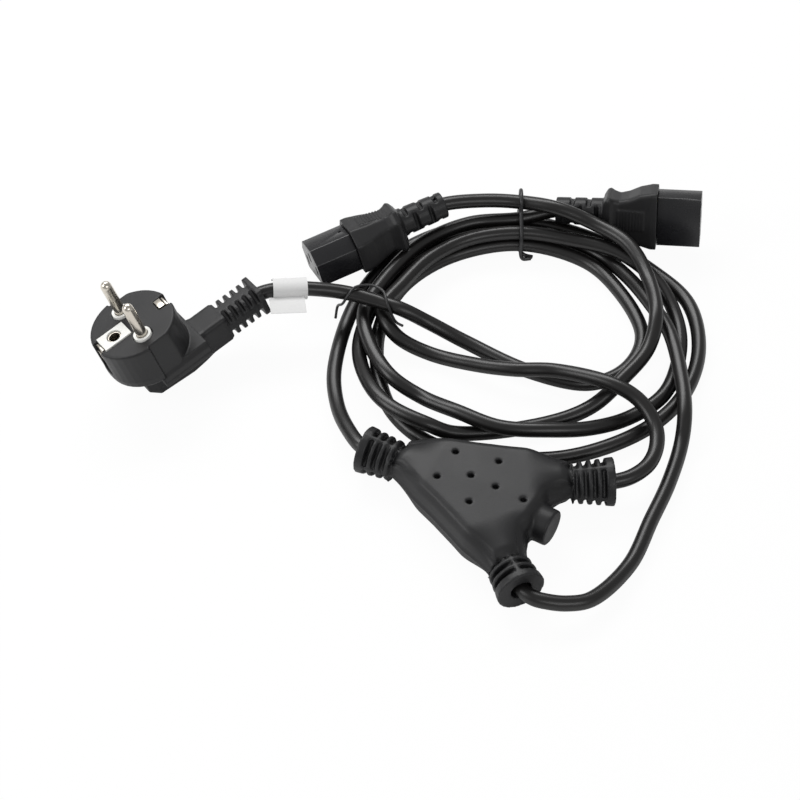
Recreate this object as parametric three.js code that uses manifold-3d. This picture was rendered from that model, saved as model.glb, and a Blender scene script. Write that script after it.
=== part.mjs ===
// Mains cord splitter: one angled earthed plug, a moulded Y splitter and two
// appliance connectors, joined by three round cords that lie coiled and tied.
// Millimetres, +Z up, standing on Z = 0.

import * as THREE from 'three';
import { mergeVertices } from 'three/addons/utils/BufferGeometryUtils.js';
import Module from 'manifold-3d';

// Fits
const gap = 0.3;
const roundSides = 24;

// Cords
const cordDiameter = 6.4;
const cordSides = 8;
const cordSteps = 80;
const cordSocketDepth = 8;
const cordMouthWidening = 1;
const coreBore = 5;

// Plug
const plugPlace = [-115.9, 10.5, 38.4];
const plugTurn = [36.4, 14, -8.9];
const faceRadius = 19;
const headDepth = 22.5;
const headBackRound = 4.5;
const headFlat = 17.2;
const headFlatStart = -2;
const pinDiameter = 4.8;
const pinLength = 19;
const pinSpacing = 19;
const pinRoot = 12;
const collarDiameter = 7.8;
const collarHeight = 0.9;
const insertCentre = -9.3;
const insertLength = 13;
const insertWidth = 8.8;
const insertDepth = 5;
const bridgeThickness = 3;
const bridgeRadius = 17;
const earthHole = 4.8;
const earthTubeWall = 0.6;
const earthTubeLength = 11;
const notchInner = 16;
const notchWidth = 7.2;
const notchDepth = 14;
const stripThickness = 0.8;
const stripWidth = 5.2;
const guardWidth = 38;
const guardStart = -3.5;
const guardEnd = 21;
const guardTop = 22.2;
const guardThickness = 2.8;
const reliefDepth = 30;
const backDepth = 37.4;
const backStart = -9;
const blockEnd = 34;
const blockHalf = 7;
const plugReliefEnd = 54.5;
const plugSlots = 5;
const plugSlotPitch = 3.7;
const plugSlotWidth = 1.9;
const plugSlotFloor = 5.9;
const plugEndCollar = 2.6;

// Splitter
const splitterPlace = [25.4, -56.8, 0];
const splitterTurn = -31;
const splitterHeight = 20.6;
const reliefHeight = 10.4;
const edgeRound = 4.5;
const edgeHeight = 7.5;
const flangeThickness = 2.6;
const flangeProud = 1;
const inputStart = -5.4;
const inputAngle = 184.7;
const inputRoot = 26.7;
const inputEnd = 43.7;
const outputStart = -3.5;
const rightAngle = 33.7;
const rightRoot = 44.4;
const rightEnd = 61.9;
const leftAngle = -36.2;
const leftRoot = 39.4;
const leftEnd = 56.9;
const reliefRootRadius = 8.3;
const reliefEndRadius = 10.3;
const reliefCollar = 3.7;
const splitterSlots = 4;
const splitterSlotPitch = 3.7;
const splitterSlotWidth = 1.9;
const splitterSlotFloor = 6.3;
const stubRadius = 7.75;
const stubEnd = 38.2;
const stubStart = 12;
const dimpleDiameter = 2.6;
const dimpleDepth = 3;
const coreLength = 36;
const coreWidth = 17;
const coreHeight = 11;
const spliceDiameter = 3;
const spliceLength = 20;
const spliceSpacing = 5.4;

// Appliance connectors
const leftPlace = [-25.4, 79.6, 16.1];
const leftTurn = [-156.5, -9.2, 21.5];
const rightPlace = [113.2, 97.4, 17.2];
const rightTurn = [-8.5, 4.4, -110.7];
const blockWidth = 23.4;
const blockHeight = 16;
const blockChamfer = 5.5;
const noseLength = 19.5;
const tongueLength = 12;
const tongueWidth = 17;
const tongueHeight = 11;
const tongueChamfer = 3;
const contactSpread = 7;
const contactLow = -2;
const contactHigh = 2;
const contactWidth = 3.2;
const contactHeight = 5.2;
const contactWall = 0.5;
const contactLength = 14;
const contactTail = 8;
const windowWidth = 2.4;
const windowHeight = 4.4;
const windowLip = 1.8;
const wiringSpace = 2;
const connectorReliefRadius = 6.3;
const connectorReliefEnd = 46;
const connectorSlots = 3;
const connectorSlotPitch = 7.4;
const connectorSlotWidth = 1.9;
const connectorSlotFloor = 4.1;
const dotDiameter = 1.6;
const dotPlace = 3;
const ribCount = 9;
const ribPitch = 1.4;
const ribStart = -6.2;
const ribProud = 0.4;
const ribLength = 9;

// Outline of the grip behind the nose: distance back, half width, half height, chamfer
const gripStations = [
  [0, 13.6, 9.8, 6],
  [-2.6, 13.6, 9.8, 6],
  [-8, 12.3, 9, 5.4],
  [-13, 9.8, 8.3, 4.4],
  [-17, 8.7, 7.8, 3.8],
  [-19.6, 9.4, 8.5, 4],
  [-21.4, 10.4, 9.6, 4.6],
  [-22.8, 10, 9.1, 4.4],
  [-24.4, 7.4, 7, 3.2],
];

// Ties and label
const bundleTieDiameter = 1.8;
const plugTieDiameter = 1.2;
const labelPlace = [-51.4, 44.4, 24];
const labelTurn = [8, -5, 0];
const labelLength = 15;
const labelWall = 0.4;
const labelSlack = 1.3;
const flagStart = -9.5;
const flagLength = 15.5;
const flagDrop = 9;

// Routes of the cords' centre lines
const supplyRoute = [
  [-70.8, 38, 21], [-64.7, 42.4, 22.8], [-55.2, 44.1, 24.3], [-41.7, 45.4, 23], [-27.2, 46, 20],
  [-14.2, 43, 18.2], [-3.2, 39, 17.2], [9.8, 37, 10], [25.3, 31, 4.5], [51.8, 15, 3.5],
  [76.3, 7.5, 3.5], [89.8, 12, 3.5], [99.3, 23, 3.5], [102.8, 37.5, 3.5], [95.3, 61, 3.5],
  [80.8, 81, 3.5], [51.3, 90.2, 5.6], [19.8, 84.5, 3.5], [-2.7, 64.5, 3.5], [-13.2, 34.5, 3.5],
  [-10.2, 0.5, 3.5], [-2.7, -14.5, 3.5], [11.3, -27, 3.5], [32.3, -33.1, 3.5], [65.8, -33.5, 3.5],
  [97.8, -20, 3.5], [116.8, -1, 3.5], [126.8, 26, 3.5], [124.8, 55, 3.5], [111.3, 74, 3.5],
  [87.8, 94.3, 3.3], [51.8, 105.2, 5.6], [26.3, 103.5, 3.8], [-2.2, 88, 3.5], [-22.2, 57.5, 3.5],
  [-31.7, 17, 3.5], [-30.2, -5, 4.5], [-25.2, -22, 8], [-18.8, -33.9, 10.4], [-11.5, -38.1, 10.4],
];
const rightRoute = [
  [76.5, -52.4, 10.4], [84.2, -52.1, 10.4], [91.8, -49.5, 10.4], [99.3, -43, 10.5], [103.3, -33.5, 11],
  [103.3, -23.5, 12.5], [97.3, -12.5, 15.5], [86.3, -4.5, 17], [62.8, 8, 11.5], [45.8, 10, 10],
  [28.8, 16, 6.5], [9.8, 24.5, 4], [-3.2, 30, 7.5], [-8.7, 36, 10], [-11.2, 45.5, 10.5],
  [-2.7, 60, 10.5], [10.3, 77, 10.5], [28.3, 88.3, 11], [50.8, 90.7, 12.6], [73.3, 87.5, 11.4],
  [95.3, 78.5, 11.8], [111.3, 65, 7.2], [118.8, 45.5, 3.5], [118.3, 24.5, 3.5], [109.8, 1.5, 3.5],
  [94.3, -11.5, 3.5], [76.3, -21, 7.5], [59.3, -24.5, 10.5], [38.3, -23, 10.7], [20.8, -14, 10.2],
  [5.8, -3, 7], [-7.2, 6, 10], [-16.2, 23.5, 10.5], [-19.2, 42.5, 10.5], [-11.7, 61, 10.5],
  [7.3, 86.5, 10.5], [28.3, 98.3, 11], [51.3, 99.7, 12.6], [67.8, 103.9, 13.7], [75.4, 103, 14.3],
];
const leftRoute = [
  [41.5, -100.3, 10.4], [44.7, -106.7, 10.4], [48.8, -110.7, 10.4], [54.3, -112.3, 10], [62.3, -112.5, 9],
  [71.8, -109.5, 7.5], [88.8, -89.5, 3.5], [99.3, -66.5, 3.5], [107.8, -47.5, 3.5], [114.8, -26.5, 4.5],
  [116.8, -14, 9.5], [116.8, 5.5, 10.5], [113.8, 31.5, 10.5], [107.3, 47.5, 10.5], [98.3, 68.5, 6.8],
  [87.8, 84.5, 3.5], [73, 93.5, 4], [51.3, 97.7, 5.6], [28.8, 96.5, 3.8], [6, 85, 3.5],
  [-9.7, 67, 3.5], [-19.2, 42, 3.5], [-21.2, 24.5, 4], [-15.2, 0, 9], [-6.7, -12, 10.5],
  [7.3, -20.5, 10.2], [19.8, -21.5, 5], [58.3, -15, 3.5], [78.3, -7, 5.5], [92.3, 5, 10.5],
  [103.8, 20.5, 12.5], [107.8, 35, 17.5], [105.8, 58, 17.5], [97.8, 76.9, 19.7], [83.3, 89.5, 19.7],
  [66.8, 95.6, 23.2], [50.8, 101.1, 21.6], [35.3, 101.5, 22.2], [16.3, 97.7, 23.5], [9.3, 94.7, 22.2],
];
const bundleTieRoute = [
  [55.8, 84.1, 2.6], [52.4, 84.9, 1.6], [51.3, 84.9, 5], [51.3, 85.3, 13.2], [51.3, 88.7, 17.2],
  [51.3, 95.3, 20.6], [51.3, 97.3, 25.2], [51.3, 101.3, 26.6], [51.3, 105.5, 24.8], [51.3, 106.1, 19.8],
  [51.3, 105.1, 14], [51.3, 107.7, 10.6], [51.3, 110.1, 7], [51.3, 109.1, 2.4], [51.3, 105.1, 1.3],
  [51.3, 90.5, 1.3], [53.2, 87.7, 1.3], [56.8, 86.3, 1.3],
];
const plugTieRoute = [
  [-31.7, 41, 9], [-30.7, 43.5, 14], [-28.4, 40.3, 19], [-25.7, 41.5, 23.4], [-22.8, 45.7, 23.8],
  [-15.7, 47.9, 22.6], [-10.8, 44.3, 22.8], [-8.8, 37.9, 21.6], [-6.7, 35.3, 16.4], [-4.7, 35.1, 12.4],
  [-2.2, 33.1, 12.6],
];

const wasm = await Module();
wasm.setup();

// Solids and meshes

function solid(geometry) {
  geometry.deleteAttribute('normal');
  geometry.deleteAttribute('uv');
  const merged = mergeVertices(geometry, 1e-4);
  return new wasm.Manifold(new wasm.Mesh({
    numProp: 3,
    vertProperties: Float32Array.from(merged.attributes.position.array),
    triVerts: Uint32Array.from(merged.index.array),
  }));
}

function mesh(name, shape, material) {
  const { vertProperties, triVerts } = shape.getMesh();
  const geometry = new THREE.BufferGeometry();
  geometry.setAttribute('position', new THREE.BufferAttribute(vertProperties, 3));
  geometry.setIndex(new THREE.BufferAttribute(triVerts, 1));
  geometry.computeVertexNormals();
  const part = new THREE.Mesh(geometry, material);
  part.name = name;
  return part;
}

function placedGroup(place, [yaw, pitch, roll]) {
  const group = new THREE.Group();
  const angle = THREE.MathUtils.degToRad;
  group.position.set(...place);
  group.rotation.set(angle(roll), -angle(pitch), angle(yaw), 'ZYX');
  return group;
}

function box([x0, x1], [y0, y1], [z0, z1]) {
  const geometry = new THREE.BoxGeometry(x1 - x0, y1 - y0, z1 - z0);
  geometry.translate((x0 + x1) / 2, (y0 + y1) / 2, (z0 + z1) / 2);
  return solid(geometry);
}

// Round bar or cone along X
function barAlongX([x0, x1], radius0, radius1 = radius0, sides = roundSides) {
  const geometry = new THREE.CylinderGeometry(radius1, radius0, x1 - x0, sides);
  geometry.rotateZ(-Math.PI / 2);
  geometry.translate((x0 + x1) / 2, 0, 0);
  return solid(geometry);
}

// Round bar along Z
function barAlongZ(x, y, [z0, z1], radius, sides = roundSides) {
  const geometry = new THREE.CylinderGeometry(radius, radius, z1 - z0, sides);
  geometry.rotateX(Math.PI / 2);
  geometry.translate(x, y, (z0 + z1) / 2);
  return solid(geometry);
}

// Convex outline with every corner rounded
function rounded(corners, radius, steps = 3) {
  const points = [];
  corners.forEach((corner, i) => {
    const here = new THREE.Vector2(...corner);
    const before = new THREE.Vector2(...corners.at(i - 1)).sub(here);
    const after = new THREE.Vector2(...corners[(i + 1) % corners.length]).sub(here);
    const opening = Math.acos(before.clone().normalize().dot(after.clone().normalize()));
    const reach = Math.min(radius / Math.tan(opening / 2), before.length() / 2.1, after.length() / 2.1);
    const arc = new THREE.QuadraticBezierCurve(
      here.clone().add(before.setLength(reach)), here, here.clone().add(after.setLength(reach)));
    points.push(...arc.getPoints(steps));
  });
  return points.map((p) => [p.x, p.y]);
}

function rectangle(halfWidth, bottom, top, radius) {
  return rounded([[halfWidth, bottom], [halfWidth, top], [-halfWidth, top], [-halfWidth, bottom]], radius);
}

// Rectangle with its two upper corners cut off
function chamferedRectangle(halfWidth, halfHeight, chamfer, radius) {
  return rounded([
    [halfWidth, -halfHeight], [halfWidth, halfHeight - chamfer], [halfWidth - chamfer, halfHeight],
    [chamfer - halfWidth, halfHeight], [-halfWidth, halfHeight - chamfer], [-halfWidth, -halfHeight],
  ], radius, 2);
}

// Solid through matching YZ outlines set along X
function loft(rings) {
  const count = rings[0].outline.length;
  const positions = rings.flatMap((ring) => ring.outline.flatMap(([y, z]) => [ring.x, y, z]));
  const index = [];
  for (let r = 0; r + 1 < rings.length; r += 1) {
    for (let i = 0; i < count; i += 1) {
      const a = r * count + i;
      const b = r * count + ((i + 1) % count);
      index.push(a, b, b + count, a, b + count, a + count);
    }
  }
  const last = (rings.length - 1) * count;
  for (let i = 1; i + 1 < count; i += 1) {
    index.push(0, i + 1, i, last, last + i, last + i + 1);
  }
  const geometry = new THREE.BufferGeometry();
  geometry.setAttribute('position', new THREE.Float32BufferAttribute(positions, 3));
  geometry.setIndex(index);
  return solid(geometry);
}

function prismAlongX([x0, x1], outline) {
  return loft([{ x: x0, outline }, { x: x1, outline }]);
}

// Flat plate with an outline in XY
function plate(points, [z0, z1], bevel, spread = bevel) {
  const shape = new THREE.Shape(points.map(([x, y]) => new THREE.Vector2(x, y)));
  const geometry = new THREE.ExtrudeGeometry(shape, {
    depth: z1 - z0 - 2 * bevel,
    bevelThickness: bevel,
    bevelSize: spread,
    bevelSegments: 3,
  });
  geometry.translate(0, 0, z0 + bevel);
  return solid(geometry);
}

// Ring of slots cut square to a relief's axis: one slot in each given direction
function slotRing(x, width, floor, reach, directions) {
  return directions.map((degrees) => {
    const slot = box([x - width / 2, x + width / 2], [-reach, reach], [floor, floor + reach]);
    return slot.rotate([degrees, 0, 0]);
  });
}

function cutAll(shape, cutters) {
  return cutters.reduce((rest, cutter) => rest.subtract(cutter), shape);
}

// Mouth that the cord sits in, with a narrower way on for its cores, opening toward +X
function cordMouth(end, coresFrom) {
  const radius = cordDiameter / 2 + gap;
  const socket = barAlongX([end - cordSocketDepth, end + gap], radius, radius + cordMouthWidening);
  return socket.add(barAlongX([coresFrom, end - cordSocketDepth + gap], coreBore / 2));
}

// Tube along a route
function tube(route, diameter, sides, steps) {
  const path = new THREE.CatmullRomCurve3(route.map((p) => new THREE.Vector3(...p)), false, 'centripetal');
  const section = new THREE.Shape();
  for (let i = 0; i < sides; i += 1) {
    const angle = (2 * Math.PI * i) / sides;
    const point = [(diameter / 2) * Math.cos(angle), (diameter / 2) * Math.sin(angle)];
    if (i === 0) {
      section.moveTo(...point);
    } else {
      section.lineTo(...point);
    }
  }
  return solid(new THREE.ExtrudeGeometry(section, { steps, extrudePath: path }));
}

// Materials

const blackPvc = new THREE.MeshStandardMaterial({ color: 0x2c2c2e, roughness: 0.7, metalness: 0 });
const hardBlack = new THREE.MeshStandardMaterial({ color: 0x18181a, roughness: 0.35, metalness: 0 });
const cordBlack = new THREE.MeshStandardMaterial({ color: 0x141415, roughness: 0.3, metalness: 0 });
const whitePlastic = new THREE.MeshStandardMaterial({ color: 0xeeeeea, roughness: 0.5, metalness: 0 });
const nickel = new THREE.MeshStandardMaterial({ color: 0xc9c2b4, roughness: 0.25, metalness: 1 });
const brass = new THREE.MeshStandardMaterial({ color: 0xc8a860, roughness: 0.35, metalness: 1 });
const paper = new THREE.MeshStandardMaterial({ color: 0xf4f4f2, roughness: 0.8, metalness: 0 });

// Plug: X runs toward the cord, Y along the pins and Z out of the face

function plugHead() {
  const profile = [
    new THREE.Vector2(0, -headDepth),
    new THREE.Vector2(faceRadius - headBackRound, -headDepth),
    new THREE.Vector2(faceRadius - headBackRound * 0.45, -headDepth + headBackRound * 0.22),
    new THREE.Vector2(faceRadius - headBackRound * 0.12, -headDepth + headBackRound * 0.6),
    new THREE.Vector2(faceRadius, -headDepth + headBackRound * 1.3),
    new THREE.Vector2(faceRadius, -0.6),
    new THREE.Vector2(faceRadius - 0.6, 0),
    new THREE.Vector2(0, 0),
  ];
  const geometry = new THREE.LatheGeometry(profile, 40);
  geometry.rotateX(Math.PI / 2);
  const sides = [-1, 1].map((side) => box(
    [headFlatStart, faceRadius + 1],
    [Math.min(side * headFlat, side * faceRadius * 1.1), Math.max(side * headFlat, side * faceRadius * 1.1)],
    [-headDepth - 1, 1],
  ));
  return cutAll(solid(geometry), sides);
}

function fingerGuard() {
  const half = guardWidth / 2;
  const low = -guardTop - guardThickness;
  const corners = [
    [half, low + 0.8], [half, -guardTop], [half - 1.2, -guardTop + 1.7], [headFlat - 0.4, -guardTop + 4.5],
    [0.4 - headFlat, -guardTop + 4.5], [1.2 - half, -guardTop + 1.7], [-half, -guardTop], [-half, low + 0.8],
    [1.2 - half, low], [half - 1.2, low],
  ];
  return prismAlongX([guardStart, guardEnd], corners);
}

function plugBack() {
  const ring = (x, half, top, bottom, radius) => ({ x, outline: rectangle(half, -bottom, -top, radius) });
  return loft([
    ring(backStart, 5, reliefDepth - 9, reliefDepth + 5, 2),
    ring(backStart + 4, 8, reliefDepth - 11, backDepth, 3),
    ring(12, 9.2, reliefDepth - 11, backDepth, 3),
    ring(guardEnd - 2, blockHalf + 1, reliefDepth - blockHalf - 1, backDepth, 2.5),
    ring(guardEnd + 3, blockHalf, reliefDepth - blockHalf, reliefDepth + blockHalf, 2),
    ring(blockEnd, blockHalf, reliefDepth - blockHalf, reliefDepth + blockHalf, 2),
  ]);
}

function plugRelief() {
  const half = blockHalf - 0.3;
  const section = rectangle(half, -half, half, 2.4);
  const collar = rectangle(blockHalf + 0.3, -blockHalf - 0.3, blockHalf + 0.3, 2.4);
  const body = prismAlongX([blockEnd - 1, plugReliefEnd - 1], section)
    .add(prismAlongX([plugReliefEnd - plugEndCollar, plugReliefEnd], collar));
  const firstSlot = plugReliefEnd - plugEndCollar - plugSlotWidth / 2 - (plugSlots - 1) * plugSlotPitch;
  const cutters = [];
  for (let i = 0; i < plugSlots; i += 1) {
    const x = firstSlot + i * plugSlotPitch;
    cutters.push(...slotRing(x, plugSlotWidth, plugSlotFloor, 2 * blockHalf, [45, 135, 225, 315]));
  }
  return cutAll(body, cutters).translate([0, 0, -reliefDepth]);
}

function bridgeShape(grow) {
  const top = -1.5;
  const column = insertWidth / 2 + grow;
  const bar = box(
    [insertCentre - insertLength / 2 - grow, collarDiameter / 2 + grow],
    [-pinSpacing / 2 - collarDiameter / 2 - grow, pinSpacing / 2 + collarDiameter / 2 + grow],
    [top - bridgeThickness - grow, top + grow],
  );
  const bridge = bar.intersect(barAlongZ(0, 0, [-headDepth, 0], bridgeRadius + grow, 40));
  const window = box(
    [insertCentre - insertLength / 2 - grow, insertCentre + insertLength / 2 + grow],
    [-column, column],
    [-insertDepth - grow, grow > 0 ? 1 : 0.3],
  );
  const collars = [-1, 1].map((side) => barAlongZ(
    0, side * pinSpacing / 2, [top - bridgeThickness - grow, grow > 0 ? 1 : collarHeight], collarDiameter / 2 + grow));
  return bridge.add(window).add(collars[0]).add(collars[1]);
}

function notchBox(side) {
  const reach = [notchInner, faceRadius + 1].map((x) => side * x).sort((a, b) => a - b);
  return box(reach, [-notchWidth / 2, notchWidth / 2], [-notchDepth, 1]);
}

function earthStrip(side) {
  const inner = notchInner + gap;
  const leg = [inner, inner + stripThickness].map((x) => side * x).sort((a, b) => a - b);
  const bulge = [inner + stripThickness - 0.1, inner + stripThickness + 0.7].map((x) => side * x).sort((a, b) => a - b);
  return box(leg, [-stripWidth / 2, stripWidth / 2], [-notchDepth + gap, -0.4])
    .add(box(bulge, [-stripWidth / 2, stripWidth / 2], [-notchDepth * 0.6, -notchDepth * 0.25]));
}

function earthTab() {
  return box([notchInner - 3.2, notchInner - gap], [-stripWidth / 2, stripWidth / 2], [-1.2 + gap, 0.2]);
}

function makePlug() {
  const group = placedGroup(plugPlace, plugTurn);
  const pinBottom = -pinRoot;
  const tabRecess = box([notchInner - 3.2 - gap, notchInner + 1], [-stripWidth / 2 - gap, stripWidth / 2 + gap], [-1.2, 1]);
  const earthBottom = -earthTubeLength;
  const cutters = [
    bridgeShape(gap), notchBox(-1), notchBox(1), tabRecess,
    barAlongZ(insertCentre, 0, [earthBottom - gap, 0], earthHole / 2 + earthTubeWall + gap),
    cordMouth(plugReliefEnd, 0).translate([0, 0, -reliefDepth]),
    ...[-1, 1].map((side) => barAlongZ(0, side * pinSpacing / 2, [pinBottom - gap, 1], pinDiameter / 2 + gap)),
    barAlongZ(insertCentre, 0, [-reliefDepth - coreBore / 2, earthBottom], coreBore / 2),
    barAlongX([insertCentre, 1], coreBore / 2).translate([0, 0, -reliefDepth]),
  ];
  const body = cutAll(plugHead().add(fingerGuard()).add(plugBack()).add(plugRelief()), cutters);
  group.add(mesh('plug_body', body, blackPvc));

  const insertHoles = [
    ...[-1, 1].map((side) => barAlongZ(0, side * pinSpacing / 2, [-10, 5], pinDiameter / 2 + gap)),
    barAlongZ(insertCentre, 0, [-10, 5], earthHole / 2 + earthTubeWall + gap),
  ];
  group.add(mesh('plug_insert', cutAll(bridgeShape(0), insertHoles), whitePlastic));

  [['plug_pin_near', -1], ['plug_pin_far', 1]].forEach(([name, side]) => {
    const tip = pinDiameter / 2;
    const profile = [
      new THREE.Vector2(0, pinBottom),
      new THREE.Vector2(tip, pinBottom),
      new THREE.Vector2(tip, pinLength - tip),
      new THREE.Vector2(tip * 0.9, pinLength - tip * 0.55),
      new THREE.Vector2(tip * 0.6, pinLength - tip * 0.2),
      new THREE.Vector2(0, pinLength),
    ];
    const geometry = new THREE.LatheGeometry(profile, 20);
    geometry.rotateX(Math.PI / 2);
    group.add(mesh(name, solid(geometry).translate([0, side * pinSpacing / 2, 0]), nickel));
  });

  const tube = barAlongZ(insertCentre, 0, [earthBottom, -0.4], earthHole / 2 + earthTubeWall)
    .subtract(barAlongZ(insertCentre, 0, [earthBottom - 1, 0], earthHole / 2));
  group.add(mesh('plug_earth_socket', tube, nickel));
  group.add(mesh('plug_earth_strip_outer', earthStrip(-1), nickel));
  group.add(mesh('plug_earth_strip_inner', earthStrip(1), nickel));
  group.add(mesh('plug_earth_tab', earthTab(), nickel));
  return group;
}

// Splitter: X runs from the input to the blank stub, Z is up

function splitterOutline() {
  const half = [
    [-29.3, 7.2], [-17.7, 10.7], [-5.8, 15], [6.5, 20.1], [17.6, 25.1], [25.2, 28.6],
    [32.6, 18.4], [27.5, 10.5], [27.5, 4],
  ];
  const lower = half.map(([x, y]) => [x, -y]).reverse();
  return [...lower, ...half].reverse();
}

// Relief along +X with its root at the body and a thick collar at its free end
function splitterRelief(root, end) {
  const body = barAlongX([root - 6, end], reliefRootRadius - 0.4, reliefEndRadius);
  const cutters = [];
  for (let i = 0; i < splitterSlots; i += 1) {
    const x = end - reliefCollar - splitterSlotWidth / 2 - i * splitterSlotPitch;
    cutters.push(...slotRing(x, splitterSlotWidth, splitterSlotFloor, 6, [45, 135, 225, 315]));
  }
  return cutAll(body, cutters);
}

function makeSplitter() {
  const group = placedGroup(splitterPlace, [splitterTurn, 0, 0]);
  const middle = splitterHeight / 2;
  const ends = [
    { start: inputStart, angle: inputAngle, root: inputRoot, end: inputEnd },
    { start: outputStart, angle: rightAngle, root: rightRoot, end: rightEnd },
    { start: outputStart, angle: leftAngle, root: leftRoot, end: leftEnd },
  ];
  const aimed = (shape, { start, angle }) => shape.rotate([0, 0, angle]).translate([start, 0, reliefHeight]);
  const outline = splitterOutline();
  const flange = [middle - flangeThickness / 2, middle + flangeThickness / 2];
  let body = plate(outline, [0, splitterHeight], edgeHeight, edgeRound)
    .add(plate(outline, flange, flangeThickness / 3, edgeRound + flangeProud));
  body = body.add(barAlongX([stubStart, stubEnd], stubRadius).translate([0, 0, reliefHeight]));
  ends.forEach((place) => {
    body = body.add(aimed(splitterRelief(place.root, place.end), place));
  });

  const core = [[-coreLength / 2 - 2, coreLength / 2 - 2], [-coreWidth / 2, coreWidth / 2],
    [reliefHeight - coreHeight / 2, reliefHeight + coreHeight / 2]];
  const grown = core.map(([low, high]) => [low - gap, high + gap]);
  const dimples = [[0, 0], [11.5, 0], [-11.5, 7.5], [-11.5, -7.5], [6.2, 12.2], [6.2, -12.2], [24.3, 0]];
  body = cutAll(body, [
    box(...grown),
    ...ends.map((place) => aimed(cordMouth(place.end, 8), place)),
    ...dimples.map(([x, y]) => barAlongZ(x, y, [splitterHeight - dimpleDepth, splitterHeight + 1], dimpleDiameter / 2, 12)),
  ]);
  group.add(mesh('splitter_body', body, blackPvc));

  const rows = [-1, 0, 1].map((row) => row * spliceSpacing);
  const floor = reliefHeight - spliceDiameter / 2 - gap;
  const channels = rows.map((y) => box(
    [-coreLength, coreLength], [y - spliceDiameter / 2 - gap, y + spliceDiameter / 2 + gap], [floor, splitterHeight]));
  group.add(mesh('splitter_core', cutAll(box(...core), channels), hardBlack));
  ['splice_line', 'splice_earth', 'splice_neutral'].forEach((name, i) => {
    const splice = barAlongX([-spliceLength / 2 - 2, spliceLength / 2 - 2], spliceDiameter / 2, spliceDiameter / 2, 16)
      .translate([0, rows[i], reliefHeight]);
    group.add(mesh(name, splice, brass));
  });
  return group;
}

// Connector: X runs toward the mating face, Y across the wide face, Z to the chamfered side

function gripHalfHeight(x) {
  const i = gripStations.findIndex(([station]) => station <= x);
  const [x0, , h0] = gripStations[i - 1];
  const [x1, , h1] = gripStations[i];
  return h0 + ((h1 - h0) * (x - x0)) / (x1 - x0);
}

function connectorGrip() {
  let body = loft(gripStations.map(([x, halfWidth, halfHeight, chamfer]) => (
    { x, outline: chamferedRectangle(halfWidth, halfHeight, chamfer, 1.6) })).reverse());
  const reliefStart = gripStations.at(-1)[0];
  const relief = barAlongX([-connectorReliefEnd, reliefStart + 2], connectorReliefRadius - 0.3, connectorReliefRadius + 0.3);
  const cutters = [];
  for (let i = 0; i < connectorSlots; i += 1) {
    const x = reliefStart - 3 - i * connectorSlotPitch;
    cutters.push(...slotRing(x, connectorSlotWidth, connectorSlotFloor, 8, [0, 180]));
    if (i + 1 < connectorSlots) {
      cutters.push(...slotRing(x - connectorSlotPitch / 2, connectorSlotWidth, connectorSlotFloor, 8, [90, 270]));
    }
  }
  body = body.add(cutAll(relief, cutters));
  for (let i = 0; i < ribCount; i += 1) {
    const x = ribStart - i * ribPitch;
    const height = gripHalfHeight(x) + ribProud;
    body = body.add(box([x - ribPitch / 4, x + ribPitch / 4], [-ribLength / 2, ribLength / 2], [-height, height]));
  }
  const pocket = prismAlongX([-tongueLength - wiringSpace, 1],
    chamferedRectangle(tongueWidth / 2 + gap, tongueHeight / 2 + gap, tongueChamfer, 0.8));
  const mouth = cordMouth(connectorReliefEnd, tongueLength).rotate([0, 0, 180]);
  return cutAll(body, [pocket, mouth]);
}

function contactPlaces() {
  return [['line', contactSpread, contactLow], ['earth', 0, contactHigh], ['neutral', -contactSpread, contactLow]];
}

function connectorNose() {
  const outline = chamferedRectangle(blockWidth / 2, blockHeight / 2, blockChamfer, 0.8);
  let body = prismAlongX([gap, noseLength], outline)
    .add(prismAlongX([-tongueLength, gap + 1], chamferedRectangle(tongueWidth / 2, tongueHeight / 2, tongueChamfer, 0.8)));
  contactPlaces().forEach(([, y, z]) => {
    const channel = box([-tongueLength - 1, noseLength - windowLip],
      [y - contactWidth / 2 - gap, y + contactWidth / 2 + gap],
      [z - contactHeight / 2 - gap, z + contactHeight / 2 + gap]);
    const window = box([noseLength - windowLip - 1, noseLength + 1],
      [y - windowWidth / 2, y + windowWidth / 2], [z - windowHeight / 2, z + windowHeight / 2]);
    body = body.subtract(channel).subtract(window);
  });
  return body.subtract(barAlongZ(dotPlace, 0, [blockHeight / 2 - 1, blockHeight / 2 + 1], dotDiameter / 2, 12));
}

function contactSleeve(y, z) {
  const front = noseLength - windowLip - gap;
  const back = front - contactLength;
  const sleeve = box([back, front], [-contactWidth / 2, contactWidth / 2], [-contactHeight / 2, contactHeight / 2])
    .subtract(box([back - 1, front + 1], [contactWall - contactWidth / 2, contactWidth / 2 - contactWall],
      [contactWall - contactHeight / 2, contactHeight / 2 - contactWall]));
  const tail = box([back - contactTail, back + 1], [-contactWidth / 2, contactWidth / 2],
    [-contactHeight / 2, -contactHeight / 2 + contactWall]);
  return sleeve.add(tail).translate([0, y, z]);
}

function makeConnector(prefix, place, turn) {
  const group = placedGroup(place, turn);
  group.add(mesh(`${prefix}_connector_grip`, connectorGrip(), blackPvc));
  group.add(mesh(`${prefix}_connector_nose`, connectorNose(), hardBlack));
  contactPlaces().forEach(([name, y, z]) => {
    group.add(mesh(`${prefix}_contact_${name}`, contactSleeve(y, z), brass));
  });
  return group;
}

// Paper label: a wrap round the cord with a flag hanging toward the front

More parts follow.
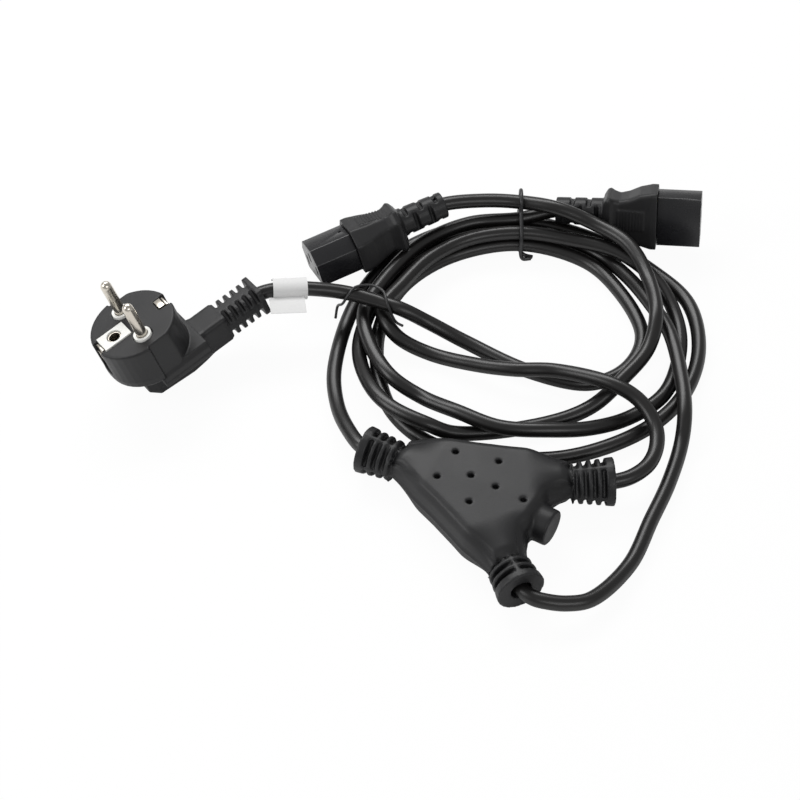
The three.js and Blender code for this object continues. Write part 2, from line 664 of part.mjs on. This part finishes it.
function makeLabel() {
  const group = placedGroup(labelPlace, labelTurn);
  const inner = cordDiameter / 2 + labelSlack;
  const outer = inner + labelWall;
  const wrap = barAlongX([-labelLength / 2, labelLength / 2], outer)
    .subtract(barAlongX([-labelLength, labelLength], inner));
  const flag = box([flagStart, flagStart + flagLength], [-outer - flagDrop, -inner - labelWall / 4],
    [-labelWall / 2, labelWall / 2]);
  group.add(mesh('cord_label', wrap.add(flag), paper));
  return group;
}

const splitter = new THREE.Group();
splitter.add(makePlug());
splitter.add(makeSplitter());
splitter.add(makeConnector('left', leftPlace, leftTurn));
splitter.add(makeConnector('right', rightPlace, rightTurn));
splitter.add(mesh('supply_cord', tube(supplyRoute, cordDiameter, cordSides, cordSteps), cordBlack));
splitter.add(mesh('right_cord', tube(rightRoute, cordDiameter, cordSides, cordSteps), cordBlack));
splitter.add(mesh('left_cord', tube(leftRoute, cordDiameter, cordSides, cordSteps), cordBlack));
splitter.add(mesh('bundle_tie', tube(bundleTieRoute, bundleTieDiameter, 8, 60), hardBlack));
splitter.add(mesh('plug_tie', tube(plugTieRoute, plugTieDiameter, 8, 60), hardBlack));
splitter.add(makeLabel());

export default splitter;
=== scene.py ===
import math
import bmesh
import bpy
from mathutils import Matrix, Vector


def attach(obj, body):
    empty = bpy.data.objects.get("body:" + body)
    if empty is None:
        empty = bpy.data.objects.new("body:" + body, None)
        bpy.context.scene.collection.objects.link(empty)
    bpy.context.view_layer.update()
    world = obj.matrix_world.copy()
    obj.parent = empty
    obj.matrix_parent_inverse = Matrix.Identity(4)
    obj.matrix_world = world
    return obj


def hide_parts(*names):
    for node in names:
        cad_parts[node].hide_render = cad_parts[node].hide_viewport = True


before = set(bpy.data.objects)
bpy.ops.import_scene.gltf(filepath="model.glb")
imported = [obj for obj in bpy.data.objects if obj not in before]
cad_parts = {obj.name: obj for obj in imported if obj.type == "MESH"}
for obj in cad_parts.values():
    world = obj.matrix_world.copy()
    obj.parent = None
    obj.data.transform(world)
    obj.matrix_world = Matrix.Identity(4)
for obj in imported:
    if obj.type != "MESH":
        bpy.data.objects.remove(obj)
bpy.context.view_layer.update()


# The table and the light. The cord set lies on a white table that runs into a white
# background, under a wide soft box over its far side and a weaker one at the front.
view_centre = Vector((-0.0034, 0.0013, 0.0))
view_distance = 0.95
view_height = math.radians(49)
view_line = Vector((0, -math.cos(view_height), math.sin(view_height)))
half_frame = 400
lens_in_pixels = 2210
camera_data = bpy.data.cameras.new("camera")
camera_data.angle = 2 * math.atan(half_frame / lens_in_pixels)
camera_data.clip_start = 0.05
camera = bpy.data.objects.new("camera", camera_data)
camera.location = view_centre + view_distance * view_line
camera.rotation_euler = (math.pi / 2 - view_height, 0, 0)
bpy.context.collection.objects.link(camera)
bpy.context.scene.camera = camera
bpy.context.scene.view_settings.view_transform = "Standard"


def soft_box(name, place, aim, size, power):
    lamp = bpy.data.lights.new(name, "AREA")
    lamp.shape = "RECTANGLE"
    lamp.size, lamp.size_y = size
    lamp.energy = power
    box = bpy.data.objects.new(name, lamp)
    box.location = place
    box.rotation_euler = (Vector(aim) - Vector(place)).to_track_quat("-Z", "Y").to_euler()
    bpy.context.collection.objects.link(box)


soft_box("box_far", (-0.2, 0.6, 0.75), (0, 0, 0), (1.0, 0.3), 7.0)
soft_box("box_left", (-0.8, -0.15, 0.5), (0, 0, 0), (0.4, 0.5), 3.0)
soft_box("box_front", (0.35, -0.7, 0.6), (0, 0, 0), (0.7, 0.3), 2.0)


class Value:
    """A socket that takes part in sums, with numbers or with other sockets."""

    def __init__(self, paint, socket):
        self.paint = paint
        self.socket = socket

    def maths(self, operation, first, second):
        return self.paint.node("ShaderNodeMath", {"operation": operation}, {0: first, 1: second})

    def __add__(self, other):
        return self.maths("ADD", self, other)

    def __mul__(self, other):
        return self.maths("MULTIPLY", self, other)

    __radd__ = __add__
    __rmul__ = __mul__


class Paint:
    """One finish: a material and the nodes behind its surface."""

    def __init__(self, name, world=None):
        self.owner = world or bpy.data.materials.new(name)
        self.owner.use_nodes = True
        self.tree = self.owner.node_tree
        self.tree.nodes.clear()

    def node(self, kind, settings=None, inputs=None, output=0):
        made = self.tree.nodes.new(kind)
        for key, value in (settings or {}).items():
            setattr(made, key, value)
        for key, value in (inputs or {}).items():
            if isinstance(value, Value):
                self.tree.links.new(value.socket, made.inputs[key])
            else:
                made.inputs[key].default_value = value
        return Value(self, made.outputs[output]) if made.outputs else made

    def noise(self, scale, detail=2.0, stretch=(1, 1, 1)):
        place = self.node("ShaderNodeTexCoord", {}, {}, "Object")
        place = self.node("ShaderNodeMapping", {}, {"Vector": place, "Scale": stretch})
        inputs = {"Vector": place, "Scale": scale, "Detail": detail}
        return self.node("ShaderNodeTexNoise", {}, inputs, "Fac")

    def blend(self, factor, first, second):
        return self.node("ShaderNodeMix", {"data_type": "RGBA"}, {0: factor, 6: first, 7: second}, 2)

    def bump(self, height, strength, distance, under=None):
        inputs = {"Height": height, "Strength": strength, "Distance": distance}
        if under is not None:
            inputs["Normal"] = under
        return self.node("ShaderNodeBump", {}, inputs)

    def finish(self, **inputs):
        names = {key.replace("_", " "): value for key, value in inputs.items()}
        surface = self.node("ShaderNodeBsdfPrincipled", {}, names)
        self.node("ShaderNodeOutputMaterial", {}, {"Surface": surface})
        return self.owner


sky = Paint("sky", bpy.data.worlds.new("sky"))
bpy.context.scene.world = sky.owner
rays = sky.node("ShaderNodeLightPath").socket.node
seen = Value(sky, rays.outputs["Is Camera Ray"]) + Value(sky, rays.outputs["Is Transmission Ray"])
around = sky.node("ShaderNodeBackground", {}, {"Color": (1, 1, 1, 1), "Strength": 0.4})
behind = sky.node("ShaderNodeBackground", {}, {"Color": (1, 1, 1, 1), "Strength": 1.0})
both = sky.node("ShaderNodeMixShader", {}, {0: seen, 1: around, 2: behind})
sky.node("ShaderNodeOutputWorld", {}, {"Surface": both})

table_mesh = bpy.data.meshes.new("table")
table_mesh.from_pydata([(-3, -3, 0), (3, -3, 0), (3, 3, 0), (-3, 3, 0)], [], [(0, 1, 2, 3)])
table = bpy.data.objects.new("table", table_mesh)
table.location = (0, 0, -0.0003)
bpy.context.collection.objects.link(table)
white = Paint("table_white")
rays = white.node("ShaderNodeLightPath").socket.node
matte = white.node("ShaderNodeBsdfDiffuse", {}, {"Color": (0.9, 0.9, 0.9, 1)})
glow = white.node("ShaderNodeEmission", {}, {"Color": (1, 1, 1, 1), "Strength": 1.0})
share = Value(white, rays.outputs["Is Camera Ray"]) * 0.95
mixed = white.node("ShaderNodeMixShader", {}, {0: share, 1: matte, 2: glow})
white.node("ShaderNodeOutputMaterial", {}, {"Surface": mixed})
table_mesh.materials.append(white.owner)


# The three round cords. Each is an extruded black sheath with a gloss that shows the
# light as long streaks, and it keeps the slight waves of having been wound and tied.
cord_diameter = 0.0064
supply_route = [
    (-0.0708, 0.038, 0.021), (-0.0647, 0.0424, 0.0228), (-0.0552, 0.0441, 0.0243), (-0.0417, 0.0454, 0.023),
    (-0.0272, 0.046, 0.02), (-0.0142, 0.043, 0.0182), (-0.0032, 0.039, 0.0172), (0.0098, 0.037, 0.01),
    (0.0253, 0.031, 0.0045), (0.0518, 0.015, 0.0035), (0.0763, 0.0075, 0.0035), (0.0898, 0.012, 0.0035),
    (0.0993, 0.023, 0.0035), (0.1028, 0.0375, 0.0035), (0.0953, 0.061, 0.0035), (0.0808, 0.081, 0.0035),
    (0.0513, 0.0902, 0.0056), (0.0198, 0.0845, 0.0035), (-0.0027, 0.0645, 0.0035), (-0.0132, 0.0345, 0.0035),
    (-0.0102, 0.0005, 0.0035), (-0.0027, -0.0145, 0.0035), (0.0113, -0.027, 0.0035), (0.0323, -0.0331, 0.0035),
    (0.0658, -0.0335, 0.0035), (0.0978, -0.02, 0.0035), (0.1168, -0.001, 0.0035), (0.1268, 0.026, 0.0035),
    (0.1248, 0.055, 0.0035), (0.1113, 0.074, 0.0035), (0.0878, 0.0943, 0.0033), (0.0518, 0.1052, 0.0056),
    (0.0263, 0.1035, 0.0038), (-0.0022, 0.088, 0.0035), (-0.0222, 0.0575, 0.0035), (-0.0317, 0.017, 0.0035),
    (-0.0302, -0.005, 0.0045), (-0.0252, -0.022, 0.008), (-0.0188, -0.0339, 0.0104), (-0.0115, -0.0381, 0.0104),
]
right_route = [
    (0.0765, -0.0524, 0.0104), (0.0842, -0.0521, 0.0104), (0.0918, -0.0495, 0.0104), (0.0993, -0.043, 0.0105),
    (0.1033, -0.0335, 0.011), (0.1033, -0.0235, 0.0125), (0.0973, -0.0125, 0.0155), (0.0863, -0.0045, 0.017),
    (0.0628, 0.008, 0.0115), (0.0458, 0.01, 0.01), (0.0288, 0.016, 0.0065), (0.0098, 0.0245, 0.004),
    (-0.0032, 0.03, 0.0075), (-0.0087, 0.036, 0.01), (-0.0112, 0.0455, 0.0105), (-0.0027, 0.06, 0.0105),
    (0.0103, 0.077, 0.0105), (0.0283, 0.0883, 0.011), (0.0508, 0.0907, 0.0126), (0.0733, 0.0875, 0.0114),
    (0.0953, 0.0785, 0.0118), (0.1113, 0.065, 0.0072), (0.1188, 0.0455, 0.0035), (0.1183, 0.0245, 0.0035),
    (0.1098, 0.0015, 0.0035), (0.0943, -0.0115, 0.0035), (0.0763, -0.021, 0.0075), (0.0593, -0.0245, 0.0105),
    (0.0383, -0.023, 0.0107), (0.0208, -0.014, 0.0102), (0.0058, -0.003, 0.007), (-0.0072, 0.006, 0.01),
    (-0.0162, 0.0235, 0.0105), (-0.0192, 0.0425, 0.0105), (-0.0117, 0.061, 0.0105), (0.0073, 0.0865, 0.0105),
    (0.0283, 0.0983, 0.011), (0.0513, 0.0997, 0.0126), (0.0678, 0.1039, 0.0137), (0.0754, 0.103, 0.0143),
]
left_route = [
    (0.0415, -0.1003, 0.0104), (0.0447, -0.1067, 0.0104), (0.0488, -0.1107, 0.0104), (0.0543, -0.1123, 0.01),
    (0.0623, -0.1125, 0.009), (0.0718, -0.1095, 0.0075), (0.0888, -0.0895, 0.0035), (0.0993, -0.0665, 0.0035),
    (0.1078, -0.0475, 0.0035), (0.1148, -0.0265, 0.0045), (0.1168, -0.014, 0.0095), (0.1168, 0.0055, 0.0105),
    (0.1138, 0.0315, 0.0105), (0.1073, 0.0475, 0.0105), (0.0983, 0.0685, 0.0068), (0.0878, 0.0845, 0.0035),
    (0.073, 0.0935, 0.004), (0.0513, 0.0977, 0.0056), (0.0288, 0.0965, 0.0038), (0.006, 0.085, 0.0035),
    (-0.0097, 0.067, 0.0035), (-0.0192, 0.042, 0.0035), (-0.0212, 0.0245, 0.004), (-0.0152, 0, 0.009),
    (-0.0067, -0.012, 0.0105), (0.0073, -0.0205, 0.0102), (0.0198, -0.0215, 0.005), (0.0583, -0.015, 0.0035),
    (0.0783, -0.007, 0.0055), (0.0923, 0.005, 0.0105), (0.1038, 0.0205, 0.0125), (0.1078, 0.035, 0.0175),
    (0.1058, 0.058, 0.0175), (0.0978, 0.0769, 0.0197), (0.0833, 0.0895, 0.0197), (0.0668, 0.0956, 0.0232),
    (0.0508, 0.1011, 0.0216), (0.0353, 0.1015, 0.0222), (0.0163, 0.0977, 0.0235), (0.0093, 0.0947, 0.0222),
]

sheath = Paint("cord_sheath")
waves = sheath.noise(55, 1.0)
grain = sheath.noise(1400, 1.0)
lay_bump = sheath.bump(waves, 0.25, 0.0005)
cord_finish = sheath.finish(
    Base_Color=(0.006, 0.0055, 0.0055, 1),
    Roughness=0.3 + 0.08 * sheath.noise(60, 2.0),
    Specular_IOR_Level=0.5,
    Normal=sheath.bump(grain, 0.04, 0.0001, lay_bump),
)


def smooth_path(points, steps):
    """The centripetal curve through the points, with a few steps between each two."""
    points = [Vector(point) for point in points]
    points = [2 * points[0] - points[1]] + points + [2 * points[-1] - points[-2]]
    track = []
    for i in range(1, len(points) - 2):
        before, here, there, after = points[i - 1:i + 3]
        gaps = [math.sqrt((b - a).length) for a, b in ((before, here), (here, there), (there, after))]
        leave = (here - before) / gaps[0] - (there - before) / (gaps[0] + gaps[1]) + (there - here) / gaps[1]
        arrive = (there - here) / gaps[1] - (after - here) / (gaps[1] + gaps[2]) + (after - there) / gaps[2]
        leave, arrive = leave * gaps[1], arrive * gaps[1]
        for step in range(steps):
            t = step / steps
            track.append((2 * t**3 - 3 * t**2 + 1) * here + (t**3 - 2 * t**2 + t) * leave
                         + (3 * t**2 - 2 * t**3) * there + (t**3 - t**2) * arrive)
    return track + [points[-2]]


def round_strand(name, track, radius, sides, finish):
    curve = bpy.data.curves.new(name, "CURVE")
    curve.dimensions = "3D"
    curve.bevel_depth = radius
    curve.bevel_resolution = sides
    curve.use_fill_caps = True
    spline = curve.splines.new("POLY")
    spline.points.add(len(track) - 1)
    for point, place in zip(spline.points, track):
        point.co = (*place, 1)
    curve.materials.append(finish)
    strand = bpy.data.objects.new(name, curve)
    bpy.context.collection.objects.link(strand)
    return strand


def length_of(track):
    return sum((b - a).length for a, b in zip(track, track[1:]))


cords = {}
for name, route in (("supply", supply_route), ("right", right_route), ("left", left_route)):
    track = smooth_path(route, 10)
    strand = round_strand(name + "_cord_sheath", track, cord_diameter / 2, 8, cord_finish)
    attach(strand, "root")
    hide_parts(name + "_cord")
    cords[name] = (strand, track)


# The two wire ties. A thin plastic-covered wire goes once round the bundle at the back,
# and another clips over the plug's cord where it crosses the coil.
bundle_tie_route = [
    (0.0558, 0.0841, 0.0026), (0.0524, 0.0849, 0.0016), (0.0513, 0.0849, 0.005), (0.0513, 0.0853, 0.0132),
    (0.0513, 0.0887, 0.0172), (0.0513, 0.0953, 0.0206), (0.0513, 0.0973, 0.0252), (0.0513, 0.1013, 0.0266),
    (0.0513, 0.1055, 0.0248), (0.0513, 0.1061, 0.0198), (0.0513, 0.1051, 0.014), (0.0513, 0.1077, 0.0106),
    (0.0513, 0.1101, 0.007), (0.0513, 0.1091, 0.0024), (0.0513, 0.1051, 0.0013), (0.0513, 0.0905, 0.0013),
    (0.0532, 0.0877, 0.0013), (0.0568, 0.0863, 0.0013),
]
plug_tie_route = [
    (-0.0317, 0.041, 0.009), (-0.0307, 0.0435, 0.014), (-0.0284, 0.0403, 0.019), (-0.0257, 0.0415, 0.0234),
    (-0.0228, 0.0457, 0.0238), (-0.0157, 0.0479, 0.0226), (-0.0108, 0.0443, 0.0228), (-0.0088, 0.0379, 0.0216),
    (-0.0067, 0.0353, 0.0164), (-0.0047, 0.0351, 0.0124), (-0.0022, 0.0331, 0.0126),
]
tie_paint = Paint("tie_cover")
tie_finish = tie_paint.finish(
    Base_Color=(0.016, 0.016, 0.017, 1),
    Roughness=0.32 + 0.15 * tie_paint.noise(300),
    Normal=tie_paint.bump(tie_paint.noise(900), 0.25, 0.0002),
)
for name, route, radius in (("bundle", bundle_tie_route, 0.0009), ("plug", plug_tie_route, 0.0006)):
    wire = round_strand(name + "_wire_tie", smooth_path(route, 6), radius, 3, tie_finish)
    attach(wire, "root")
    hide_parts(name + "_tie")


# The soft moulded bodies: the plug with its finger guard, the splitter, and the grips of
# the two connectors. They are moulded in one with their slotted strain reliefs in a soft
# plastic, so every edge is a little rounded and the skin is matte with a fine grain.
def placed(place, yaw, pitch, roll):
    turn = (Matrix.Rotation(math.radians(yaw), 4, "Z") @ Matrix.Rotation(-math.radians(pitch), 4, "Y")
            @ Matrix.Rotation(math.radians(roll), 4, "X"))
    return Matrix.Translation(Vector(place)) @ turn


plug_place = placed((-0.1159, 0.0105, 0.0384), 36.4, 14, -8.9)
splitter_place = placed((0.0254, -0.0568, 0), -31, 0, 0)
left_place = placed((-0.0254, 0.0796, 0.0161), -156.5, -9.2, 21.5)
right_place = placed((0.1132, 0.0974, 0.0172), -8.5, 4.4, -110.7)

skin = Paint("moulded_skin")
grain = skin.noise(2600, 3.0)
patches = skin.noise(60, 3.0)
moulded_finish = skin.finish(
    Base_Color=skin.blend(patches, (0.0095, 0.0095, 0.0102, 1), (0.0135, 0.0135, 0.0145, 1)),
    Roughness=0.38 + 0.12 * patches,
    Specular_IOR_Level=0.36,
    Normal=skin.bump(grain, 0.22, 0.0002, skin.bump(skin.noise(220, 2.0), 0.12, 0.0003)),
)


def plain_mesh(name, thing):
    """The object's mesh after its modifiers, as a new object with none."""
    bpy.context.view_layer.update()
    evaluated = thing.evaluated_get(bpy.context.evaluated_depsgraph_get())
    mesh = bpy.data.meshes.new_from_object(evaluated)
    bpy.data.objects.remove(thing)
    made = bpy.data.objects.new(name, mesh)
    bpy.context.collection.objects.link(made)
    return made


def solid_copy(name, node, place):
    """A copy of a solid of the frame, joined up and laid straight for work on it."""
    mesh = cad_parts[node].data.copy()
    mesh.materials.clear()
    mesh.transform(place.inverted())
    work = bmesh.new()
    work.from_mesh(mesh)
    bmesh.ops.remove_doubles(work, verts=work.verts, dist=1e-6)
    work.to_mesh(mesh)
    work.free()
    copy = bpy.data.objects.new(name, mesh)
    bpy.context.collection.objects.link(copy)
    return copy


def finished(thing, place, node, finish):
    thing.data.transform(place)
    thing.data.materials.clear()
    thing.data.materials.append(finish)
    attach(thing, "root")
    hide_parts(node)


def ease(value):
    value = min(max(value, 0), 1)
    return value * value * (3 - 2 * value)


arm_middle = 0.0104
arm_width = 0.0108
arm_radius = 0.0088
arm_run = 0.019
arm_side = 0.016
arm_fade = 0.004
arm_reach = 0.0446
arms = ((-0.0035, 33.7, arm_reach), (-0.0035, -36.2, arm_reach), (-0.0054, 184.7, 0.0286))
bore_radius = 0.0075
relief_radius = 0.0093
relief_slack = 0.003
smooth_starts = (-0.0035, -0.0054)
smooth_reach = arm_reach + 0.0005
smooth_from = -0.0335
smooth_to = 0.045
dimple_reach = 0.02
dimple_floor = 0.018
smooth_rounds = 6


def on_the_arms(spot):
    """True on the splitter's block, clear of its reliefs and of the dimples on its top."""
    off_the_dimples = spot.xy.length > dimple_reach or spot.z < dimple_floor
    before_reliefs = all(Vector((spot.x - start, spot.y)).length < smooth_reach for start in smooth_starts)
    return smooth_from < spot.x < smooth_to and off_the_dimples and before_reliefs


def round_arms(mesh):
    """Draws the flat ends of the splitter's arms in to the round of their reliefs."""
    for start, angle, end in arms:
        along = Vector((math.cos(math.radians(angle)), math.sin(math.radians(angle))))
        for vertex in mesh.vertices:
            flat = vertex.co.xy - Vector((start, 0))
            reach = flat.dot(along)
            side = along.cross(flat)
            up = vertex.co.z - arm_middle
            near = ease((reach - end + arm_run) / arm_run) * ease((arm_side - abs(side)) / arm_fade)
            radius = math.hypot(side, up)
            in_relief = reach > end + relief_slack or (reach > end and radius < relief_radius)
            if near == 0 or radius < bore_radius or in_relief:
                continue
            square = max(abs(side) / arm_width, abs(up) / arm_middle)
            scale = 1 + near * (arm_radius * square / radius - 1)
            moved = Vector((start, 0)) + along * reach + Vector((-along.y, along.x)) * side * scale
            vertex.co = (*moved, arm_middle + up * scale)
    work = bmesh.new()
    work.from_mesh(mesh)
    soft = [vertex for vertex in work.verts if on_the_arms(vertex.co)]
    for _ in range(smooth_rounds):
        bmesh.ops.smooth_vert(work, verts=soft, factor=0.5,
                              use_axis_x=True, use_axis_y=True, use_axis_z=True)
    work.to_mesh(mesh)
    work.free()


def moulded(name, node, place, grid, rounds, finish, shaping=None):
    """A body as it leaves the mould: its solid with all its edges softened."""
    copy = solid_copy(name + "_rough", node, place)
    net = copy.modifiers.new("net", "REMESH")
    net.mode = "VOXEL"
    net.voxel_size = grid
    soften = copy.modifiers.new("soften", "SMOOTH")
    soften.iterations = rounds
    soften.factor = 0.5
    made = plain_mesh(name, copy)
    if shaping:
        shaping(made.data)
    made.data.shade_smooth()
    finished(made, place, node, finish)


fine_net = 0.00036
splitter_net = 0.0005
moulded("plug_moulding", "plug_body", plug_place, fine_net, 4, moulded_finish)
moulded("splitter_moulding", "splitter_body", splitter_place, splitter_net, 7,
        moulded_finish, round_arms)
moulded("left_grip_moulding", "left_connector_grip", left_place, fine_net, 5,
        moulded_finish)
moulded("right_grip_moulding", "right_connector_grip", right_place, fine_net, 5,
        moulded_finish)


# The finger ribs of the two connector grips. A row of fine raised bars is moulded across
# both wide faces, where finger and thumb pull the connector out, and follows their taper.
rib_count = 9
rib_first = (-0.0062, 0, 0.00925)
rib_step = (-0.0014, 0, -0.000187)
rib_bar = (0.0006, 0.009, 0.0009)
rib_sizes = (
    ("Count", "NodeSocketInt", rib_count),
    ("First", "NodeSocketVector", rib_first),
    ("Step", "NodeSocketVector", rib_step),
    ("Bar", "NodeSocketVector", rib_bar),
)
rib_tree = bpy.data.node_groups.new("finger_ribs", "GeometryNodeTree")
rib_sockets = rib_tree.interface
rib_sockets.new_socket("Ribs", in_out="OUTPUT", socket_type="NodeSocketGeometry")
for socket_name, kind, value in rib_sizes:
    rib_sockets.new_socket(socket_name, in_out="INPUT", socket_type=kind).default_value = value
rib_sockets.new_socket("Skin", in_out="INPUT", socket_type="NodeSocketMaterial")


def rib_node(kind, **sources):
    """A node of the rib tree, with its sockets linked to the outputs given for them."""
    made = rib_tree.nodes.new(kind)
    for key, source in sources.items():
        rib_tree.links.new(source, made.inputs[key.replace("_", " ")])
    return made


given = rib_node("NodeGroupInput").outputs
bar = rib_node("GeometryNodeMeshCube", Size=given["Bar"])
row = rib_node("GeometryNodeMeshLine", Count=given["Count"], Start_Location=given["First"], Offset=given["Step"])
bars = rib_node("GeometryNodeInstanceOnPoints", Points=row.outputs["Mesh"], Instance=bar.outputs["Mesh"])
real = rib_node("GeometryNodeRealizeInstances", Geometry=bars.outputs["Instances"])
coat = rib_node("GeometryNodeSetMaterial", Geometry=real.outputs["Geometry"], Material=given["Skin"])
rib_node("NodeGroupOutput", Ribs=coat.outputs["Geometry"])
rib_inputs = {item.name: item.identifier for item in rib_sockets.items_tree if item.in_out == "INPUT"}
for name, place in (("left", left_place), ("right", right_place)):
    for side, over in (("upper", 1), ("under", -1)):
        ribs = bpy.data.objects.new("rib_row", bpy.data.meshes.new("rib_row"))
        bpy.context.collection.objects.link(ribs)
        rows = ribs.modifiers.new("ribs", "NODES")
        rows.node_group = rib_tree
        rows[rib_inputs["First"]] = (rib_first[0], 0, rib_first[2] * over)
        rows[rib_inputs["Step"]] = (rib_step[0], 0, rib_step[2] * over)
        rows[rib_inputs["Skin"]] = moulded_finish
        ribs = plain_mesh(name + "_" + side + "_ribs", ribs)
        ribs.data.transform(place)
        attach(ribs, "root")


# The connector noses. Each is a hard glossy moulding with two long chamfers, three slots
# for the pins of an inlet, and edges broken just enough to catch a line of light.
nose_paint = Paint("nose_black")
nose_finish = nose_paint.finish(
    Base_Color=(0.008, 0.008, 0.0095, 1),
    Roughness=0.22 + 0.1 * nose_paint.noise(90, 3.0),
    Specular_IOR_Level=0.5,
    Normal=nose_paint.bump(nose_paint.noise(1800), 0.06, 0.0001),
)


def hard_piece(name, node, place, edge, finish):
    """A hard piece: its solid with flat faces made whole and its edges just broken."""
    copy = solid_copy(name + "_rough", node, place)
    work = bmesh.new()
    work.from_mesh(copy.data)
    bmesh.ops.dissolve_limit(work, angle_limit=math.radians(1), verts=work.verts, edges=work.edges)
    work.to_mesh(copy.data)
    work.free()
    bevel = copy.modifiers.new("edge", "BEVEL")
    bevel.width = edge
    bevel.segments = 3
    bevel.limit_method = "ANGLE"
    bevel.angle_limit = math.radians(35)
    made = plain_mesh(name, copy)
    made.data.shade_smooth()
    made.data.set_sharp_from_angle(angle=math.radians(32))
    finished(made, place, node, finish)


hard_piece("left_nose_moulding", "left_connector_nose", left_place, 0.00035, nose_finish)
hard_piece("right_nose_moulding", "right_connector_nose", right_place, 0.00035, nose_finish)


# The plug's white insert carries the pins in raised collars and the earth socket in a
# raised pad. It is a separate hard white plastic part that the body is moulded round.
insert_paint = Paint("insert_white")
insert_finish = insert_paint.finish(
    Base_Color=insert_paint.blend(insert_paint.noise(200), (0.78, 0.78, 0.75, 1), (0.84, 0.84, 0.81, 1)),
    Roughness=0.38 + 0.1 * insert_paint.noise(400),
    Normal=insert_paint.bump(insert_paint.noise(1500), 0.06, 0.0001),
)
hard_piece("insert_moulding", "plug_insert", plug_place, 0.0002, insert_finish)


# The pins, the earth socket and the earth strips are turned or pressed from brass and
# nickel plated, bright on top with fine marks from handling.
pin_radius = 0.0024
pin_root = -0.012
pin_tip = 0.019
pin_dome = 1.1 * pin_radius
pin_spread = 0.0095
metal = Paint("nickel_plate")
marks = metal.noise(700, 3.0, (1, 1, 6))
nickel_finish = metal.finish(
    Base_Color=metal.blend(metal.noise(90), (0.55, 0.51, 0.45, 1), (0.66, 0.62, 0.55, 1)),
    Metallic=1.0,
    Roughness=0.2 + 0.1 * marks,
)
for name, node, side in (("near_pin", "plug_pin_near", -1), ("far_pin", "plug_pin_far", 1)):
    profile = [(0, pin_root), (pin_radius, pin_root), (pin_radius, pin_tip - pin_dome)]
    for step in range(1, 9):
        turn = step / 8 * math.pi / 2
        profile.append((pin_radius * math.cos(turn), pin_tip - pin_dome * (1 - math.sin(turn))))
    work = bmesh.new()
    line = [work.verts.new((x, 0, z)) for x, z in profile]
    for a, b in zip(line, line[1:]):
        work.edges.new((a, b))
    bmesh.ops.spin(work, geom=line + work.edges[:], cent=(0, 0, 0), axis=(0, 0, 1),
                   angle=2 * math.pi, steps=40, use_duplicate=False)
    bmesh.ops.remove_doubles(work, verts=work.verts, dist=1e-6)
    bmesh.ops.recalc_face_normals(work, faces=work.faces)
    bmesh.ops.translate(work, verts=work.verts, vec=(0, side * pin_spread, 0))
    mesh = bpy.data.meshes.new(name)
    work.to_mesh(mesh)
    work.free()
    mesh.shade_smooth()
    mesh.set_sharp_from_angle(angle=math.radians(50))
    pin = bpy.data.objects.new(name, mesh)
    bpy.context.collection.objects.link(pin)
    finished(pin, plug_place, node, nickel_finish)
for node in ("plug_earth_socket", "plug_earth_strip_outer", "plug_earth_strip_inner", "plug_earth_tab"):
    hard_piece(node.replace("plug_", "") + "_plated", node, plug_place, 0.00012, nickel_finish)


# Inside, seen only through the slots and the mouths: the brass contact sleeves, the
# splices and the core that holds them.
brass_paint = Paint("contact_brass")
brass_finish = brass_paint.finish(
    Base_Color=brass_paint.blend(brass_paint.noise(150), (0.55, 0.4, 0.18, 1), (0.68, 0.52, 0.26, 1)),
    Metallic=1.0,
    Roughness=0.3 + 0.2 * brass_paint.noise(500),
)
inner_nodes = ["splice_line", "splice_earth", "splice_neutral"]
inner_nodes += [side + "_contact_" + core for side in ("left", "right") for core in ("line", "earth", "neutral")]
for node in inner_nodes:
    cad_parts[node].data.materials.clear()
    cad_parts[node].data.materials.append(brass_finish)
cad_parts["splitter_core"].data.materials.clear()
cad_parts["splitter_core"].data.materials.append(nose_finish)


# The paper label is a plain white strip wrapped once round the supply cord and stuck to
# itself, with its free end standing out as a flag toward the front.
label_place = placed((-0.0514, 0.0444, 0.024), 8, -5, 0)
label_paint = Paint("label_paper")
fibres = label_paint.noise(900, 4.0, (1, 3, 1))
label_finish = label_paint.finish(
    Base_Color=label_paint.blend(fibres, (0.62, 0.62, 0.62, 1), (0.72, 0.72, 0.715, 1)),
    Roughness=0.7,
    Normal=label_paint.bump(fibres, 0.15, 0.0001),
)
wrap_radius = 0.0047
flag_reach = 0.0136
flag_sag = 0.0006
paper_thickness = 0.0002
wrap = []
for step in range(25):
    turn = math.radians(-80 + 340 * step / 24)
    wrap.append((-wrap_radius * math.sin(turn), wrap_radius * math.cos(turn)))
flag = []
for step in range(7):
    share = step / 6
    across = -wrap_radius - paper_thickness - (flag_reach - wrap_radius) * share
    flag.append((across, -paper_thickness / 2 - flag_sag * share**2))
work = bmesh.new()
for line, start, end in ((wrap, -0.0075, 0.0075), (flag, -0.0095, 0.006)):
    rows = []
    for step in range(9):
        x = start + (end - start) * step / 8
        rows.append([work.verts.new((x, y, z)) for y, z in line])
    for one, two in zip(rows, rows[1:]):
        for a, b, c, d in zip(one, one[1:], two[1:], two):
            work.faces.new((a, b, c, d))
mesh = bpy.data.meshes.new("label")
work.to_mesh(mesh)
work.free()
label = bpy.data.objects.new("label_rough", mesh)
bpy.context.collection.objects.link(label)
paper = label.modifiers.new("paper", "SOLIDIFY")
paper.thickness = paper_thickness
paper.offset = 0
label = plain_mesh("paper_label", label)
label.data.shade_smooth()
label.data.set_sharp_from_angle(angle=math.radians(40))
finished(label, label_place, "cord_label", label_finish)


# Each cord leaves one moulded body and ends in another; here only the length of each cord's track is worked out,
# and it is not used.
strand, track = cords["supply"]
length_of(track)
strand, track = cords["right"]
length_of(track)
strand, track = cords["left"]
length_of(track)
